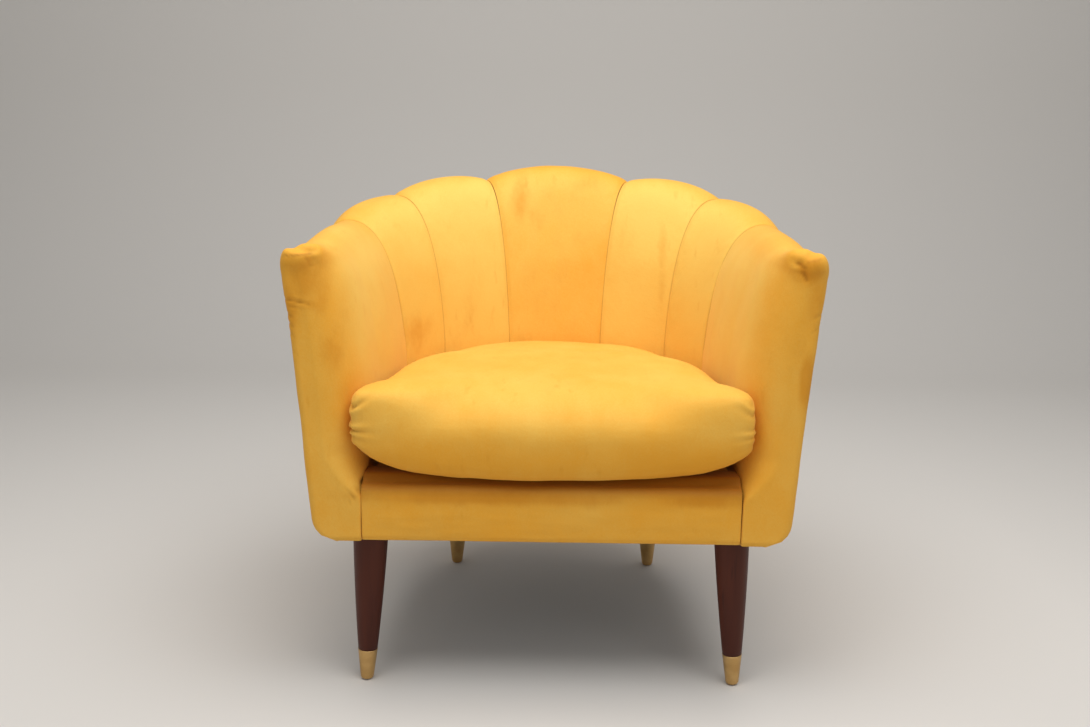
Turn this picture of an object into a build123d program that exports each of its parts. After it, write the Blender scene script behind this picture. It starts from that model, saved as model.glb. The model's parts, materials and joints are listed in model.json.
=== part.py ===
from build123d import *
from collections import namedtuple
from math import cos, pi, radians, sin, sqrt
import os

# Upholstered tub armchair with a channelled back, a loose seat cushion and four turned legs.
# Millimetres, +Z up, the sitter faces -Y, the origin is on the floor under the middle of the chair.
# A place on the wall of the tub is given by its run, the length along the inner face from the middle
# of the back, and by n, the distance outwards from that face.

os.makedirs("parts", exist_ok=True)

# Inner face of the tub in plan, at the seat: a back arc, two corner arcs and two straight arms
back_radius = 450
corner_radius = 160
corner_start = 20  # degrees from +Y, where the back arc meets the corner arc
arm_flare = 4  # degrees that each arm opens towards the front
seat_depth = 535  # front face of the arms to the inner back

# Heights: the legs from the floor, the rest above the underside of the upholstery
leg_height = 248
arm_rise = 434
back_rise = 504
lean_rise = 202  # where the inner face starts to lean outwards
base_thickness = 25
rail_height = 45
deck_thickness = 20.8
cushion_thickness = 133

# Channels: runs of the three seams on each side, and how far a plump middle stands out and up
seam_runs = (84, 208, 326)
channel_puff = 12
arm_puff = 5
arm_crown = 9
side_crown = 21
inner_crown = 26
seam_drops = (21, 45, 75)  # top of each seam, below the crest of the centre channel

# Walls
shoulder_chords = 4
roll_chords = 4
wall_foot = 72  # thickness of the wall above the rounded bottom edge
back_reach = 165  # inner back to the outside of the top roll
bottom_round = 42
pad_thickness = 40
arm_pad_thickness = 34
top_padding = 46
lip_thickness = 14
lip_drop = 60
cover_thickness = 4
facing_depth = 35
facing_edge = 12
gap = 0.3

# Frame
rail_inner = 15
rail_thickness = 45
front_rail_thickness = 25
base_width = 52
base_room = 8
rib_thickness = 18
rib_room = 5
rib_finger = 16  # height that each rib reaches up beside the rail in the top roll
crest_thickness = 18
crest_height = 50
crest_room = 4
panel_thickness = 2.4
hessian_thickness = 1.6
web_thickness = 1.6

# Seat webbing, woven: a strap lies on the rails or steps over the strap that it crosses
seat_web_width = 60
long_web_pitch = 90
long_web_count = 5
cross_web_pitch = 98
cross_web_count = 4
first_cross_web = 100  # from the front face
web_ramp = 14
web_hold = 13  # length of strap that lies on a rail

# Legs
leg_top_radius = 27
leg_foot_radius = 15
leg_swell = 1.2
ferrule_height = 52
ferrule_wall = 2
ferrule_foot_radius = 9.5
ferrule_edge = 2.5
front_leg_x = 275.5
front_leg_inset = 50  # from the front face
front_leg_splay = 11
rear_leg_x = 178
rear_leg_setback = 21  # in front of the inner back
rear_leg_splay = 6
rear_leg_rake = 27
glide_radius = 5
glide_height = 1.8
glide_seat = 3
bolt_radius = 4
bolt_in_leg = 42
nut_radius = 5.2
nut_length = 14
nut_flange_radius = 11
nut_flange_thickness = 1.6
thread_gap = 0.1

# Front border and deck
border_thickness = 12
border_height = 86
border_roll = 11
dust_thickness = 1.5

# Cushion
cushion_overhang = 20
cushion_room = 15
nose_room = 2  # to each arm at the front face
cushion_nose = 298  # half width of the nose in front of the arms
cushion_skin = 1.8
filling_room = 0.6
cushion_profile = ((0, 34), (0.18, 6), (0.6, 0), (0.87, 22), (1, 110))  # share of height, inset

# Derived places
arm_height = leg_height + arm_rise
back_height = leg_height + back_rise
lean_height = leg_height + lean_rise
border_top = leg_height + border_height
rear_leg_inset = seat_depth - rear_leg_setback
front_y = cushion_overhang - (cushion_overhang + seat_depth + back_reach) / 2
back_centre_y = front_y + seat_depth - back_radius
facing_back = front_y + facing_depth
base_bottom = leg_height + dust_thickness + gap
base_top = base_bottom + base_thickness
rail_top = base_top + rail_height
rail_outer = rail_inner + rail_thickness
pad_foot = rail_top + web_thickness + gap
base_outer = wall_foot - bottom_round - base_room
base_inner = base_outer - base_width
deck_bottom = rail_top + 2 * web_thickness + 2 * gap
deck_top = deck_bottom + deck_thickness
cushion_bottom = deck_top + gap
leg_places = [
    (side * x, front_y + inset)
    for side in (-1, 1)
    for x, inset in ((front_leg_x, front_leg_inset), (rear_leg_x, rear_leg_inset))
]
corner_offset = back_radius - corner_radius
corner_x = corner_offset * sin(radians(corner_start))
corner_y = back_centre_y + corner_offset * cos(radians(corner_start))
corner_end = 90 - arm_flare
back_run = back_radius * radians(corner_start)
arm_run = back_run + corner_radius * radians(corner_end - corner_start)
arm_slope = radians(arm_flare)


def plan_point(run, n=0.0):
    """Point of the right half of the plan, n outwards from the inner face."""
    if run <= back_run:
        angle = run / back_radius
        reach = back_radius + n
        return reach * sin(angle), back_centre_y + reach * cos(angle)
    angle = min(radians(corner_start) + (run - back_run) / corner_radius, radians(corner_end))
    reach = corner_radius + n
    along = max(run - arm_run, 0)
    x = corner_x + reach * sin(angle) + along * sin(arm_slope)
    y = corner_y + reach * cos(angle) - along * cos(arm_slope)
    return x, y


def plan_run_at(y, n=0.0):
    """Run of the place on an arm that stands at y, n outwards from the inner face."""
    return arm_run + (corner_y + (corner_radius + n) * sin(arm_slope) - y) / cos(arm_slope)


def middle(a, b):
    return (a + b) / 2


facing_run = plan_run_at(facing_back)

# Upright sections of the wall: where each stands, where it faces and the shape of its top
Station = namedtuple("Station", "run heading puff pad lean shoulder ridge_n ridge_z outer_n drop")
seam_z = [back_height - drop for drop in seam_drops]


def upright(run, heading, puff, pad, top, reach, ridge, shoulder, drop, lean=0.25):
    """One section: reach is a share of back_reach, lean of the pad and the rest of the section's reach."""
    outer = reach * back_reach
    shape = (lean * pad, shoulder * outer, ridge * outer, top, outer, drop * outer)
    return Station(run, heading, puff, pad, *shape)


arm_middle = middle(seam_runs[2], facing_run)
side_middle = middle(seam_runs[1], seam_runs[2])
inner_middle = middle(seam_runs[0], seam_runs[1])
front = upright(facing_run, 90, 0, arm_pad_thickness, arm_height, 0.62, 0.6, 0.21, 0.29)
arm = upright(arm_middle, 88, arm_puff, arm_pad_thickness, arm_height + arm_crown, 0.73, 0.68, 0.26, 0.31)
seam_1 = upright(seam_runs[2], 82, 0, arm_pad_thickness, seam_z[2], 0.84, 0.72, 0.28, 0.31)
side_1 = upright(side_middle, 66, channel_puff, pad_thickness, seam_z[2] + side_crown, 0.92, 0.71, 0.28, 0.33)
seam_2 = upright(seam_runs[1], 50, 0, pad_thickness, seam_z[1], 0.98, 0.73, 0.28, 0.33)
side_2 = upright(
    inner_middle, 37.5, channel_puff, pad_thickness, seam_z[1] + inner_crown, 1, 0.7, 0.31, 0.35, 0.33
)
seam_3 = upright(seam_runs[0], 25, 0, pad_thickness, seam_z[0], 1.01, 0.69, 0.35, 0.36, 0.4)
centre = upright(0, 0, channel_puff, pad_thickness, back_height, 1, 0.68, 0.35, 0.37, 0.4)

side_names = {-1: "left", 1: "right"}
arm_stations = (front, arm, seam_1)
spans = [[(seam_3, -1), (centre, 1), (seam_3, 1)]]
for side in side_names:
    spans.append([(s, side) for s in (seam_3, side_2, seam_2)])
    spans.append([(s, side) for s in (seam_2, side_1, seam_1)])


def section_plane(station, side):
    """Upright plane through a station: local x points outwards and local y points up."""
    x, y = plan_point(station.run)
    turn = radians(station.heading)
    return Plane(
        origin=(side * x, y, 0),
        x_dir=(side * sin(turn), cos(turn), 0),
        z_dir=(cos(turn), -side * sin(turn), 0),
    )


def outer_face(station, z, inset=0.0):
    """n of the sloping outer face at height z."""
    low = leg_height + bottom_round
    high = station.ridge_z - station.drop
    return wall_foot + (station.outer_n - wall_foot) * (z - low) / (high - low) - inset


def lip_height(station):
    return station.ridge_z - station.drop - lip_drop


def crest_box(station):
    """Inner n, outer n, bottom and top of the rail inside the top roll."""
    outer = station.ridge_n + (station.outer_n - station.ridge_n) / 4
    top = station.ridge_z - top_padding - crest_room
    return outer - crest_thickness, outer, top - crest_height, top


def draw_top(station, foot):
    """Inner face, shoulder and top roll, drawn from the foot of the face over to the outer face."""
    rise = station.ridge_z - lean_height
    ridge = (station.ridge_n, station.ridge_z)
    shoulder = Bezier(
        (-station.puff, lean_height),
        (station.lean - station.puff, station.ridge_z - 0.4 * rise),
        (station.shoulder - station.puff / 2, station.ridge_z),
        ridge,
        mode=Mode.PRIVATE,
    )
    roll = Bezier(
        ridge,
        (middle(station.ridge_n, station.outer_n), station.ridge_z),
        (station.outer_n + 1, station.ridge_z - 0.45 * station.drop),
        (station.outer_n, station.ridge_z - station.drop),
        mode=Mode.PRIVATE,
    )
    chords = [shoulder @ (i / shoulder_chords) for i in range(shoulder_chords)]
    chords += [roll @ (i / roll_chords) for i in range(roll_chords + 1)]
    Polyline([(-station.puff, foot)] + chords)


def pad_section(station, side):
    """Inverted J of one padded channel, open below where the frame stands."""
    low = lip_height(station)
    rail_in, rail_out, rail_low, rail_high = crest_box(station)
    with BuildSketch(section_plane(station, side)) as sketch:
        with BuildLine():
            draw_top(station, pad_foot)
            Polyline(
                (station.outer_n, station.ridge_z - station.drop),
                (outer_face(station, low), low),
                (outer_face(station, low, lip_thickness), low),
                (station.outer_n - lip_thickness, low + lip_drop / 2),
                (rail_out + crest_room, rail_high + crest_room),
                (rail_in - crest_room, rail_high + crest_room),
                (rail_in - crest_room, rail_low),
                (station.pad, pad_foot),
                (-station.puff, pad_foot),
            )
        make_face()
    return sketch.sketch


def cover_section(station, side):
    """Thin outside cover with its rounded bottom edge."""
    high = lip_height(station) - gap
    turn_n = wall_foot - bottom_round
    turn_z = leg_height + bottom_round
    with BuildSketch(section_plane(station, side)) as sketch:
        with BuildLine():
            Line((outer_face(station, high), high), (wall_foot, turn_z))
            CenterArc((turn_n, turn_z), bottom_round, 0, -90)
            Line((turn_n, leg_height), (turn_n, leg_height + cover_thickness))
            CenterArc((turn_n, turn_z), bottom_round - cover_thickness, 0, -90)
            Polyline(
                (wall_foot - cover_thickness, turn_z),
                (outer_face(station, high, cover_thickness), high),
                (outer_face(station, high), high),
            )
        make_face()
    return sketch.sketch


def crest_section(station, side, grow=0.0):
    rail_in, rail_out, rail_low, rail_high = crest_box(station)
    with BuildSketch(section_plane(station, side)) as sketch:
        with Locations((middle(rail_in, rail_out), middle(rail_low, rail_high))):
            Rectangle(rail_out - rail_in + 2 * grow, rail_high - rail_low + 2 * grow)
    return sketch.sketch


def backing_section(station, side, thickness=hessian_thickness):
    """Board or cloth behind a pad, from the seat rail to the inner side of the rail in the top roll."""
    rail_in, _, rail_low, _ = crest_box(station)
    foot = station.pad + gap
    head = rail_in - gap - thickness
    tip = rail_low + crest_height / 2
    with BuildSketch(section_plane(station, side)) as sketch:
        with BuildLine():
            Polyline(
                (foot, rail_top),
                (head, rail_low),
                (head, tip),
                (head + thickness, tip),
                (head + thickness, rail_low),
                (foot + thickness, rail_top),
                close=True,
            )
        make_face()
    return sketch.sketch


def rib_section(station, side):
    """Plywood rib: it stands on the seat rail and its tip reaches up behind the rail in the top roll."""
    rail_in, _, rail_low, _ = crest_box(station)
    foot = station.pad + panel_thickness + rib_room
    tip = rail_low + rib_finger
    lip = lip_height(station) - rib_room
    finger = outer_face(station, lip, lip_thickness + rib_room)
    with BuildSketch(section_plane(station, side)) as sketch:
        with BuildLine():
            Polyline(
                (foot, rail_top),
                (rail_in + rib_room, rail_low - crest_room),
                (rail_in + rib_room, tip),
                (finger, tip),
                (finger, lip),
                (outer_face(station, lip, cover_thickness + rib_room), lip),
                (outer_face(station, rail_top, cover_thickness + rib_room), rail_top),
                close=True,
            )
        make_face()
    return sketch.sketch


def draw_plan(n, start):
    """Arm, corner, back, corner and arm of the plan at n, from the right front to the left front."""
    right = [plan_point(start, n), plan_point(arm_run, n)]
    turn = corner_end - corner_start
    Line(right)
    CenterArc((corner_x, corner_y), corner_radius + n, arm_flare, turn)
    CenterArc((0, back_centre_y), back_radius + n, 90 - corner_start, 2 * corner_start)
    CenterArc((-corner_x, corner_y), corner_radius + n, 90 + corner_start, turn)
    Line([(-x, y) for x, y in reversed(right)])


def draw_band(inner, outer, start):
    """Closed outline between two offsets of the plan."""
    ends = [plan_point(start, inner), plan_point(start, outer)]
    draw_plan(inner, start)
    draw_plan(outer, start)
    Line(ends)
    Line([(-x, y) for x, y in ends])


def save(solid, label):
    solid.label = label
    export_step(solid, f"parts/{label}.step")


def make_loft(label, sections):
    with BuildPart() as piece:
        loft(sections, ruled=True)
    save(piece.part, label)


def make_spans(label, section):
    """One piece that runs round the back, lofted from seam to seam."""
    with BuildPart() as piece:
        for span in spans:
            loft([section(s, side) for s, side in span], ruled=True)
    save(piece.part, label)


# Padded channels and their outside covers
make_loft("channel_centre", [pad_section(s, side) for s, side in spans[0]])
for side, word in side_names.items():
    make_loft(f"channel_inner_{word}", [pad_section(s, side) for s in (seam_3, side_2, seam_2)])
    make_loft(f"channel_outer_{word}", [pad_section(s, side) for s in (seam_2, side_1, seam_1)])
    make_loft(f"channel_arm_{word}", [pad_section(s, side) for s in arm_stations])
    make_loft(f"outside_arm_{word}", [cover_section(s, side) for s in arm_stations])
make_spans("outside_back", cover_section)

# Rails inside the top roll, and what backs the pads
make_spans("crest_rail", crest_section)
for side, word in side_names.items():
    make_loft(f"arm_rail_{word}", [crest_section(s, side) for s in arm_stations])
    make_loft(f"arm_panel_{word}", [backing_section(s, side, panel_thickness) for s in arm_stations])
make_spans("back_hessian", backing_section)

# Padded arm fronts
for side, word in side_names.items():
    with BuildPart() as facing:
        with BuildSketch(section_plane(front, side)):
            with BuildLine():
                Line((0, leg_height), (0, border_top))
                draw_top(front, border_top)
                Line((front.outer_n, front.ridge_z - front.drop), (wall_foot, leg_height + bottom_round))
                CenterArc((wall_foot - bottom_round, leg_height + bottom_round), bottom_round, 0, -90)
                Line((wall_foot - bottom_round, leg_height), (0, leg_height))
            make_face()
        extrude(amount=side * facing_depth)
        face = facing.faces().sort_by(Axis.Y)[0]
        chamfer(face.edges().filter_by(lambda edge: edge.center().Z > border_top), facing_edge)
    save(facing.part, f"arm_facing_{word}")

# Plywood ribs at the seams, notched for the rail inside the top roll
rib_stations = {"front": front, "corner": seam_1, "side": seam_2, "back": seam_3}
for side, word in side_names.items():
    for place, station in rib_stations.items():
        with BuildPart() as rib:
            if station is front:
                extrude(rib_section(station, side), amount=-side * rib_thickness)
            else:
                extrude(rib_section(station, side), amount=rib_thickness / 2, both=True)
            for span in spans + [[(s, side) for s in arm_stations]]:
                if (station, side) in span:
                    loft([crest_section(s, at, gap) for s, at in span], ruled=True, mode=Mode.SUBTRACT)
        save(rib.part, f"rib_{place}_{word}")

# Base frame, seat rails and front rail
rail_start = facing_run - gap
rail_joint = arm_run + rail_inner
strip_y = front_y + border_thickness + gap
border_half = plan_point(facing_run)[0] - gap
with BuildPart() as base_frame:
    with BuildSketch(Plane.XY.offset(base_bottom)):
        with BuildLine():
            draw_band(base_inner, base_outer, rail_start)
        make_face()
        with Locations((0, strip_y + base_width / 2)):
            Rectangle(2 * border_half, base_width)
    extrude(amount=base_thickness)
    with Locations([(x, y, base_top) for x, y in leg_places]):
        CounterBoreHole(nut_radius + thread_gap, nut_flange_radius + gap, nut_flange_thickness)
save(base_frame.part, "base_frame")

with BuildPart() as front_rail:
    with BuildSketch(Plane.XY.offset(base_top)):
        with Locations((0, strip_y + front_rail_thickness / 2)):
            Rectangle(2 * border_half, front_rail_thickness)
    extrude(amount=rail_height)
save(front_rail.part, "front_rail")

for side, word in side_names.items():
    with BuildPart() as side_rail:
        with BuildSketch(Plane.XY.offset(base_top)):
            with BuildLine():
                ends = [(rail_start, n) for n in (rail_inner, rail_outer)]
                ends += [(rail_joint, n) for n in (rail_outer, rail_inner)]
                corners = [plan_point(run, n) for run, n in ends]
                Polyline([(side * x, y) for x, y in corners], close=True)
            make_face()
        extrude(amount=rail_height)
    save(side_rail.part, f"side_rail_{word}")

with BuildPart() as back_rail:
    with BuildSketch(Plane.XY.offset(base_top)):
        with BuildLine():
            draw_band(rail_inner, rail_outer, rail_joint)
        make_face()
    extrude(amount=rail_height)
save(back_rail.part, "back_rail")

# Woven seat webbing: each strap is a side view with steps, pulled out to its width
def draw_strap(start, finish, crossings):
    """Side view of a strap from start to finish; crossings are (place, steps over) pairs."""
    hold = seat_web_width / 2 + gap
    step = web_thickness + gap
    under = [(start, 0)]
    for place, over in crossings:
        if over:
            under += [(place - hold - web_ramp, 0), (place - hold, step)]
            under += [(place + hold, step), (place + hold + web_ramp, 0)]
    under.append((finish, 0))
    Polyline(under + [(at, height + web_thickness) for at, height in reversed(under)], close=True)


long_webs = [long_web_pitch * (i - (long_web_count - 1) / 2) for i in range(long_web_count)]
cross_webs = [front_y + first_cross_web + cross_web_pitch * i for i in range(cross_web_count)]
with BuildPart() as seat_webbing_long:
    for i, x in enumerate(long_webs):
        rail_y = back_centre_y + sqrt((back_radius + rail_inner) ** 2 - (abs(x) + seat_web_width / 2) ** 2)
        with BuildSketch(Plane(origin=(x, 0, rail_top), x_dir=(0, 1, 0), z_dir=(1, 0, 0))):
            with BuildLine():
                steps = [(y, (i + j) % 2 == 0) for j, y in enumerate(cross_webs)]
                draw_strap(strip_y + gap, rail_y, steps)
            make_face()
        extrude(amount=seat_web_width / 2, both=True)
save(seat_webbing_long.part, "seat_webbing_long")

with BuildPart() as seat_webbing_cross:
    for j, y in enumerate(cross_webs):
        past_arm = max(y + seat_web_width / 2 - corner_y, 0)
        reach = corner_x + sqrt((corner_radius + rail_inner + web_hold) ** 2 - past_arm**2)
        with BuildSketch(Plane(origin=(0, y, rail_top), x_dir=(1, 0, 0), z_dir=(0, -1, 0))):
            with BuildLine():
                steps = [(x, (i + j) % 2 == 1) for i, x in enumerate(long_webs)]
                draw_strap(-reach, reach, steps)
            make_face()
        extrude(amount=seat_web_width / 2, both=True)
save(seat_webbing_cross.part, "seat_webbing_cross")

# Deck, front border and dust cover
deck_room = -channel_puff - 2 * gap
deck_start = plan_run_at(front_y + facing_depth + gap, deck_room)
with BuildPart() as deck_pad:
    with BuildSketch(Plane.XY.offset(deck_bottom)):
        with BuildLine():
            draw_plan(deck_room, deck_start)
            x, y = plan_point(deck_start, deck_room)
            Line((x, y), (-x, y))
        make_face()
    extrude(amount=deck_thickness)
save(deck_pad.part, "deck_pad")

with BuildPart() as front_border:
    with BuildSketch(Plane(origin=(0, front_y, 0), x_dir=(0, 1, 0), z_dir=(1, 0, 0))):
        with BuildLine():
            Line((0, leg_height), (0, border_top - border_roll))
            CenterArc((border_roll, border_top - border_roll), border_roll, 180, -90)
            Polyline(
                (border_roll, border_top),
                (facing_depth, border_top),
                (facing_depth, deck_bottom),
                (border_thickness, deck_bottom),
                (border_thickness, leg_height),
                (0, leg_height),
            )
        make_face()
    extrude(amount=border_half, both=True)
save(front_border.part, "front_border")

with BuildPart() as dust_cover:
    with BuildSketch(Plane.XY.offset(leg_height)):
        with BuildLine():
            draw_plan(base_outer, rail_start)
            x, y = plan_point(rail_start, base_outer)
            Line((x, y), (-x, y))
        make_face()
        with Locations((0, middle(strip_y, facing_back + base_width))):
            Rectangle(2 * border_half, facing_back - strip_y + base_width)
    extrude(amount=dust_thickness)
    with Locations([(x, y, leg_height) for x, y in leg_places]):
        Cylinder(bolt_radius + gap, 2 * dust_thickness, mode=Mode.SUBTRACT)
save(dust_cover.part, "dust_cover")

# Legs: turned about an axis that leans from the bolt to the foot, cut flush under the seat
leg_kinds = {
    "front": (front_leg_x, front_leg_inset, front_leg_splay, 0),
    "rear": (rear_leg_x, rear_leg_inset, rear_leg_splay, rear_leg_rake),
}


def leg_plane(kind, side):
    """Plane through the axis of a leg: the origin at its top, local y up the axis. Also its length."""
    x, inset, splay, rake = leg_kinds[kind]
    axis = Vector(-side * splay, -rake, leg_height)
    across = Vector(1, 0, 0) - axis * (axis.X / axis.length**2)
    plane = Plane(origin=(side * x, front_y + inset, leg_height), x_dir=across, z_dir=across.cross(axis))
    return plane, axis.length


spare = leg_top_radius
tenon_radius = ferrule_foot_radius - ferrule_wall
tenon_gap = glide_height + 2 * glide_seat  # floor to the end of the tenon, along the leg
with BuildPart() as hanger_bolts:
    with Locations([(x, y, leg_height - bolt_in_leg) for x, y in leg_places]):
        Cylinder(
            bolt_radius, bolt_in_leg + base_thickness, align=(Align.CENTER, Align.CENTER, Align.MIN)
        )
save(hanger_bolts.part, "hanger_bolts")

with BuildPart() as leg_nuts:
    with Locations([(x, y, base_top - nut_flange_thickness) for x, y in leg_places]):
        Cylinder(nut_flange_radius, nut_flange_thickness, align=(Align.CENTER, Align.CENTER, Align.MIN))
        Cylinder(nut_radius, nut_length, align=(Align.CENTER, Align.CENTER, Align.MAX))
        Cylinder(bolt_radius + thread_gap, 2 * base_thickness, mode=Mode.SUBTRACT)
save(leg_nuts.part, "leg_nuts")


def turn_profile(plane, points):
    """Solid of revolution about the axis of a leg; points are (radius, height below the top of the leg)."""
    with BuildPart() as turned:
        with BuildSketch(plane):
            with BuildLine():
                Polyline([(radius, -below) for radius, below in points], close=True)
            make_face()
        revolve(axis=Axis(plane.origin, plane.y_dir))
    return turned.part


def leg_solid(plane, length):
    """Tapered leg, cut level at the top, with a tenon for the ferrule and a hole for the bolt."""
    wood = length - ferrule_height
    tenon_end = length - tenon_gap
    profile = [
        (0, -spare),
        (leg_top_radius, -spare),
        (leg_top_radius, 0),
        (middle(leg_top_radius, leg_foot_radius) + leg_swell, wood / 2),
        (leg_foot_radius, wood),
        (tenon_radius, wood),
        (tenon_radius, tenon_end),
        (0, tenon_end),
    ]
    with BuildPart() as leg:
        add(turn_profile(plane, profile))
        split(bisect_by=Plane.XY.offset(leg_height), keep=Keep.BOTTOM)
        with Locations((plane.origin.X, plane.origin.Y, leg_height)):
            Cylinder(bolt_radius + thread_gap, 2 * bolt_in_leg, mode=Mode.SUBTRACT)
    return leg.part


def ferrule_solid(plane, length):
    """Tapered cup over the tenon, with a seat for the glide in its foot."""
    tip = length - glide_height
    hole = glide_radius + thread_gap
    profile = [
        (0, tip - glide_seat),
        (hole, tip - glide_seat),
        (hole, tip),
        (ferrule_foot_radius - ferrule_edge, tip),
        (ferrule_foot_radius, tip - ferrule_edge),
        (leg_foot_radius, length - ferrule_height),
        (tenon_radius + thread_gap, length - ferrule_height),
        (tenon_radius + thread_gap, length - tenon_gap + thread_gap),
        (0, length - tenon_gap + thread_gap),
    ]
    return turn_profile(plane, profile)


def glide_solid(plane, length):
    """Nylon pad, pressed into the ferrule and level with the floor."""
    top = length - glide_height - glide_seat
    foot = length + spare
    with BuildPart() as glide:
        add(turn_profile(plane, [(0, top), (glide_radius, top), (glide_radius, foot), (0, foot)]))
        split(bisect_by=Plane.XY, keep=Keep.TOP)
    return glide.part


def save_set(solid, label, kinds=tuple(leg_kinds)):
    """One node with one solid for each leg of the given kinds."""
    with BuildPart() as pieces:
        for kind in kinds:
            for side in side_names:
                add(solid(*leg_plane(kind, side)))
    save(pieces.part, label)


save_set(leg_solid, "legs_front", ["front"])
save_set(leg_solid, "legs_rear", ["rear"])
save_set(ferrule_solid, "ferrules")
save_set(glide_solid, "glides")


# Loose seat cushion, lofted upwards through its plan at several heights
def cushion_outline(height, inset, nose):
    """Plan of the cushion at one height: it follows the tub and flares to the nose in front of the arms."""
    room = -cushion_room - inset
    start = plan_run_at(front_y + facing_depth + facing_edge + inset, room)
    flare = (nose - border_half) * max(1 - inset / cushion_overhang, 0)
    end_x = border_half - inset + flare
    end_y = front_y + inset - cushion_overhang / 3
    nose_y = front_y + inset - cushion_overhang
    half = [plan_point(run, room) for run in cushion_runs + [start]]
    half += [(border_half - nose_room - inset, front_y + inset), (end_x, end_y)]
    half.append((end_x * nose_share, middle(end_y, nose_y)))
    back = (0, back_centre_y + back_radius + room)
    left = [(-x, y) for x, y in reversed(half)]
    with BuildSketch(Plane.XY.offset(height)) as sketch:
        with BuildLine():
            Polyline([back] + half + [(0, nose_y)] + left, close=True)
        make_face()
    return sketch.sketch


def cushion_form(skin=0.0, nose=border_half):
    """The cushion's outside, or the form inside a skin, which leaves out the gathered corners."""
    height = cushion_thickness - 2 * skin
    levels = [(cushion_bottom + skin + share * height, inset + skin) for share, inset in cushion_profile]
    with BuildPart() as form:
        loft([cushion_outline(z, inset, nose) for z, inset in levels], ruled=True)
    return form.part


cushion_runs = [seam_runs[0], back_run, seam_runs[1], middle(*seam_runs[1:]), arm_run]
nose_share = 0.7
cushion_outside = cushion_form(nose=cushion_nose)
cushion_inside = cushion_form(cushion_skin)
with BuildPart() as cushion_cover:
    add(cushion_outside)
    add(cushion_inside, mode=Mode.SUBTRACT)
save(cushion_cover.part, "cushion_cover")
save(cushion_form(cushion_skin + filling_room), "cushion_filling")
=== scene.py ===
import json
from math import cos, pi, radians, sin, tau

import bmesh
import bpy
import numpy as np
from mathutils import Matrix, Vector, noise


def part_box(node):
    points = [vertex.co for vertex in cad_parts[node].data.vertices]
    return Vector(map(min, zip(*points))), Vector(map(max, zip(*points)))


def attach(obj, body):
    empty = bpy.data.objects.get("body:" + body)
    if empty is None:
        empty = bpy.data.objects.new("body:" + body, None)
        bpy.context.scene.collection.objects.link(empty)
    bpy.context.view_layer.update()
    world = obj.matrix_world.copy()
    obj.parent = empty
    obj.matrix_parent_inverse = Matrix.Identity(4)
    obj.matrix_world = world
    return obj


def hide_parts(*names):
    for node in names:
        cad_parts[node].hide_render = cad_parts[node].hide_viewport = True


# Looks of the tub armchair: velvet over the padded frame, turned legs, and the cloth under the seat.
# Metres, in the frame of the CAD part. A place on the tub is given by its run, the length along the
# inner face from the middle of the back, and by n, the distance outwards from that face.

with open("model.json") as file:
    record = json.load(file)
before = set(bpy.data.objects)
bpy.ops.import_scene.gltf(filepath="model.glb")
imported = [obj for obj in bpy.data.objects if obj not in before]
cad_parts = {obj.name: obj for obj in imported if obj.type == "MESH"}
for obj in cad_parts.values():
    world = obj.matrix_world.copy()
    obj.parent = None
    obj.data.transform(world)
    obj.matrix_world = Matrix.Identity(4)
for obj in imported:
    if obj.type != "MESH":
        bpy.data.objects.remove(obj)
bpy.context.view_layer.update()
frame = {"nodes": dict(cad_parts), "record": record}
scene = bpy.context.scene
sideNames = {-1: "left", 1: "right"}


# Places taken from the CAD part
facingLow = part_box("arm_facing_right")[0]
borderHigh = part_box("front_border")[1]
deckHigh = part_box("deck_pad")[1]
cushionLow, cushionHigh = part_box("cushion_cover")
frontY = facingLow.y
seatBottom = facingLow.z
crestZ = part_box("channel_centre")[1].z

tub = {
    "backRadius": 0.45,
    "cornerRadius": 0.16,
    "cornerStart": radians(20),
    "armFlare": radians(4),
    "seatDepth": 0.535,
    "lean": 0.45,
    "wall": 0.072,
    "bottomRound": 0.033,
    "armSeam": 0.326,
}
armSeam = tub["armSeam"]
backCentreY = frontY + tub["seatDepth"] - tub["backRadius"]
cornerX = (tub["backRadius"] - tub["cornerRadius"]) * sin(tub["cornerStart"])
cornerY = backCentreY + (tub["backRadius"] - tub["cornerRadius"]) * cos(tub["cornerStart"])
backRun = tub["backRadius"] * tub["cornerStart"]
cornerEnd = pi / 2 - tub["armFlare"]
armRun = backRun + tub["cornerRadius"] * (cornerEnd - tub["cornerStart"])
slope = tub["armFlare"]
borderHalf = borderHigh.x

# Upright sections at the seams and at the front: each value runs along the tub from the back
runs = [0, 0.084, 0.208, 0.326, 0.501, 0.676, 0.8]
sections = {
    "heading": [0, 25, 50, 82, 88, 90, 90],
    "lean": [0.016, 0.016, 0.010, 0.010, 0.010, 0.010, 0.010],
    "shoulder": [0.058, 0.058, 0.046, 0.038, 0.032, 0.022, 0.022],
    "ridgeN": [0.112, 0.115, 0.118, 0.100, 0.084, 0.064, 0.064],
    "ridgeZ": [-0.021, -0.021, -0.045, -0.075, -0.066, -0.070, -0.073],
    "outerN": [0.165, 0.167, 0.162, 0.138, 0.118, 0.103, 0.099],
    "drop": [0.062, 0.060, 0.054, 0.042, 0.038, 0.030, 0.030],
}


def sectionAt(run):
    near = abs(run + np.linspace(-0.03, 0.03, 7))
    values = {key: float(np.interp(near, runs, row).mean()) for key, row in sections.items()}
    values["heading"] = radians(values["heading"])
    values["ridgeZ"] += crestZ
    return values


# Point of the inner face in plan
def planPoint(run, side=1):
    if run <= backRun:
        angle = run / tub["backRadius"]
        return side * tub["backRadius"] * sin(angle), backCentreY + tub["backRadius"] * cos(angle)
    angle = min(tub["cornerStart"] + (run - backRun) / tub["cornerRadius"], cornerEnd)
    along = max(run - armRun, 0)
    x = cornerX + tub["cornerRadius"] * sin(angle) + along * sin(slope)
    return side * x, cornerY + tub["cornerRadius"] * cos(angle) - along * cos(slope)


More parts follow.
